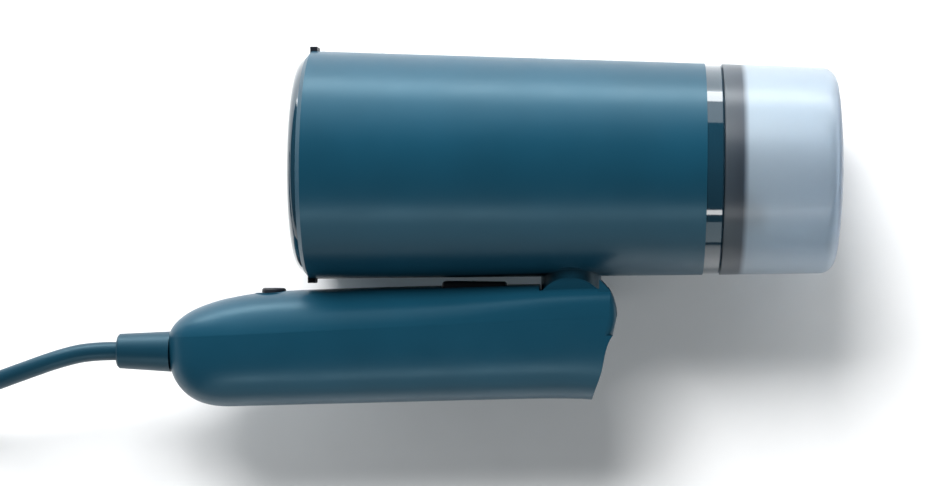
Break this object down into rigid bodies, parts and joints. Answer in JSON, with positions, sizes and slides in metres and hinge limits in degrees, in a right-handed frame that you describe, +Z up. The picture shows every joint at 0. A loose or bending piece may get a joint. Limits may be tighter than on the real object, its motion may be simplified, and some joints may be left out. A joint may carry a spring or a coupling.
{
  "type": "handheld garment steamer",
  "caption": "Folding handheld garment steamer: round tapered barrel with a domed steam head and frosted water tank, hinged to a rounded handle with trigger, power button and corded plug.",
  "frame": {"origin": "bottom centre of the box around the steamer without its cord, folded and lying on its side", "axes": "+X along the barrel from the steam head to the water tank, +Y from the handle to the barrel, +Z up"},
  "size_m": [0.4208, 0.1434, 0.0758],
  "materials": {
    "satin_blue": "satin moulded plastic, fine texture",
    "gloss_blue": "polished plastic",
    "dark_navy": "polished dark plastic",
    "frosted_tank": "frosted translucent plastic",
    "tank_collar": "moulded plastic",
    "dark_rubber": "soft black rubber",
    "cord_blue": "soft PVC jacket",
    "aluminium": "die cast",
    "steel": "plated",
    "grey_plastic": "moulded plastic",
    "white_plastic": "heat-resistant plastic",
    "silicone": "silicone rubber",
    "board_green": "glass-fibre board",
    "chrome_pin": "nickel plated"
  },
  "bodies": {
    "handle": {"handle_back_shell": "satin_blue", "handle_front_shell": "satin_blue", "handle_screws": "steel", "screw_plugs": "satin_blue", "hinge_pin": "steel", "trigger_pin": "steel", "circuit_board": "board_green", "board_parts": "grey_plastic", "micro_switch": "grey_plastic", "tact_switch": "grey_plastic", "strain_relief": "cord_blue", "cord_tail": "cord_blue", "cord_clamp": "grey_plastic", "cord": "cord_blue", "cord_coil": "cord_blue", "cord_tie": "dark_rubber", "plug_lead": "cord_blue", "plug_body": "cord_blue", "plug_pins": "chrome_pin", "trigger_spring": "steel"},
    "trigger": {"trigger": "dark_rubber"},
    "switch_plunger": {"switch_plunger": "dark_rubber"},
    "power_button": {"power_button": "dark_rubber"},
    "head": {"head_shell": "satin_blue", "front_bezel": "gloss_blue", "steam_plate": "dark_navy", "plate_gasket": "silicone", "steam_chamber": "aluminium", "heating_element": "steel", "heat_shield": "white_plastic", "thermostat": "steel", "thermal_fuse": "white_plastic", "brush_catches": "dark_rubber", "hinge_neck": "satin_blue", "hinge_washers": "steel", "chassis": "grey_plastic", "chassis_screws": "steel", "pump_body": "grey_plastic", "pump_springs": "steel", "outlet_tube": "silicone", "inlet_tube": "silicone", "tank_dock": "grey_plastic", "dock_seal": "silicone", "lock_ring": "gloss_blue"},
    "pump_plunger": {"pump_plunger": "steel"},
    "tank": {"tank_cup": "frosted_tank", "tank_lid": "tank_collar", "tank_seal": "silicone", "filler_plug": "dark_rubber", "valve_spring": "steel"},
    "tank_valve": {"tank_valve": "white_plastic"}
  },
  "joints": [
    {"name": "fold", "type": "hinge", "parent": "handle", "child": "head", "pos_m": [0.0306, -0.02798, 0.0379], "axis": [0, 0, 1], "range_deg": [-100, 0]},
    {"name": "trigger_press", "type": "hinge", "parent": "handle", "child": "trigger", "pos_m": [-0.0154, -0.02499, 0.0379], "axis": [0, 0, 1], "range_deg": [-3.5, 0], "stiffness_Nm_per_rad": 1.5, "springref_deg": 6.88, "deforming": ["trigger_spring"]},
    {"name": "switch_press", "type": "slide", "parent": "handle", "child": "switch_plunger", "axis": [0, 1, 0], "range_m": [-0.0009, 0]},
    {"name": "power_press", "type": "slide", "parent": "handle", "child": "power_button", "axis": [0, 1, 0], "range_m": [-0.0006, 0], "stiffness_N_per_m": 2000, "springref_m": 0.0003},
    {"name": "pump_stroke", "type": "slide", "parent": "head", "child": "pump_plunger", "axis": [1, 0, 0], "range_m": [-0.0012, 0.0012], "stiffness_N_per_m": 900, "deforming": ["pump_springs"]},
    {"name": "tank_release", "type": "slide", "parent": "head", "child": "tank", "axis": [1, 0, 0], "range_m": [0, 0.025]},
    {"name": "valve_lift", "type": "slide", "parent": "tank", "child": "tank_valve", "axis": [1, 0, 0], "range_m": [0, 0.0015], "stiffness_N_per_m": 200, "springref_m": -0.004, "deforming": ["valve_spring"]}
  ],
  "couplings": [
    {"joint": "switch_press", "follows": "trigger_press", "m_per_rad": 0.0135}
  ]
}
